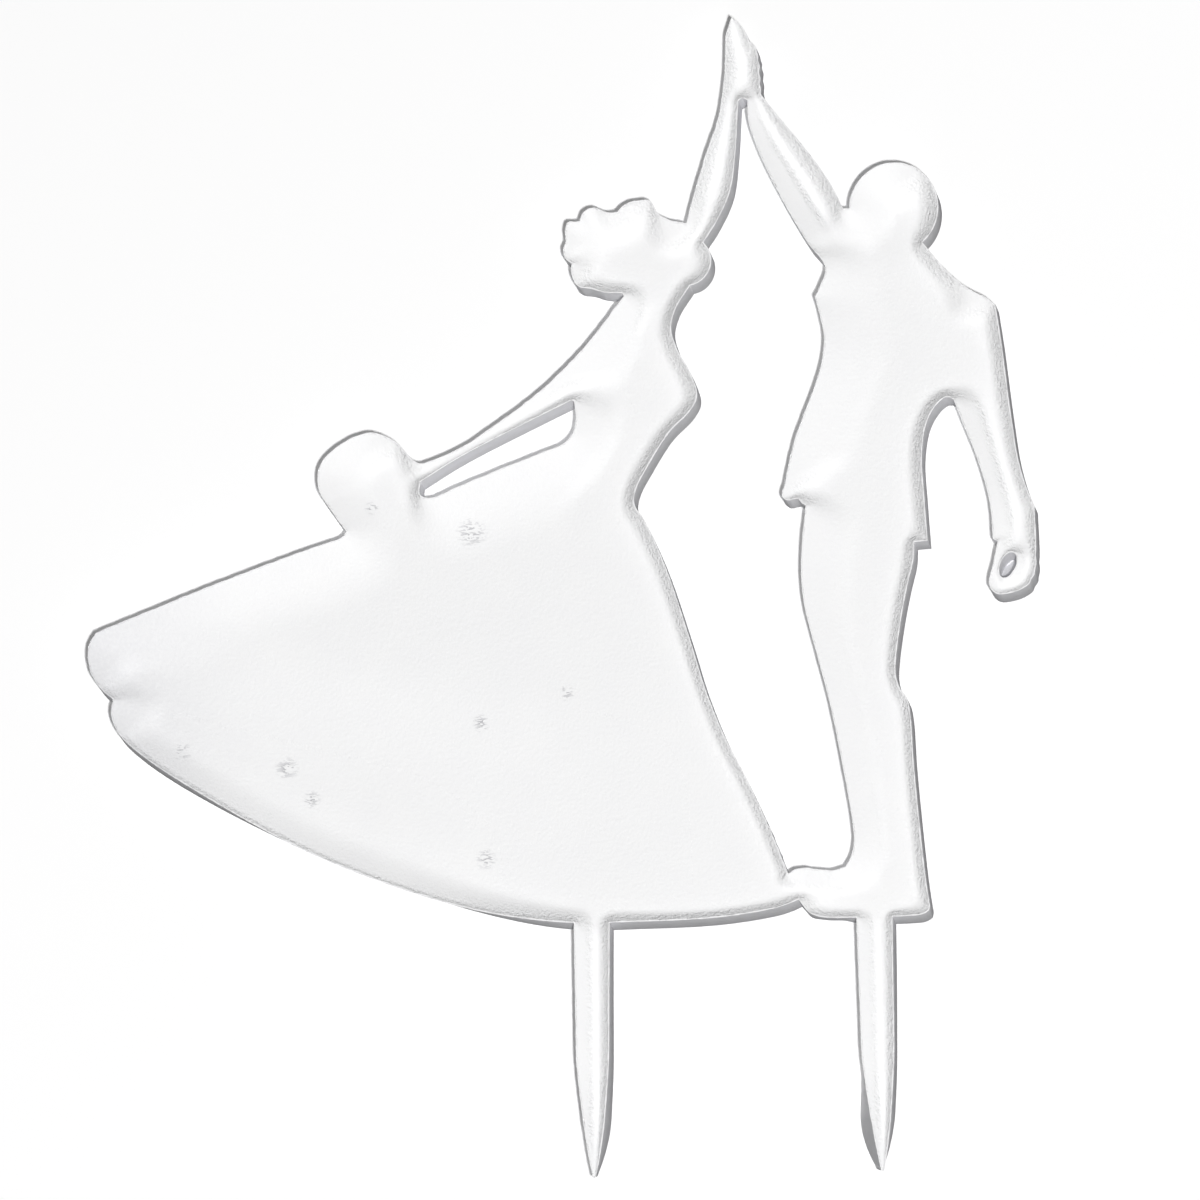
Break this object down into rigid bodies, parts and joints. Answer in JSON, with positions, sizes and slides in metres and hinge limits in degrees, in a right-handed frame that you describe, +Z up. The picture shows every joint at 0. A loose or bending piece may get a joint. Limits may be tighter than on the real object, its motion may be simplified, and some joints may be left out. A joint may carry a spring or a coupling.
{
  "type": "wedding cake topper",
  "caption": "Flat white cast figures of a bride and a groom dancing with joined raised hands, on pointed stakes that push into a cake.",
  "frame": {"origin": "on the cake's surface, midway between the stakes and halfway through the casting's thickness", "axes": "+Z up out of the cake, +Y out of the flat back, +X from the bride to the groom"},
  "size_m": [0.1205, 0.005, 0.1499],
  "materials": {
    "cast_resin": "gloss"
  },
  "bodies": {
    "root": {"bride_figure": "cast_resin", "groom_figure": "cast_resin", "bride_stake": "cast_resin", "groom_stake": "cast_resin"}
  },
  "joints": []
}
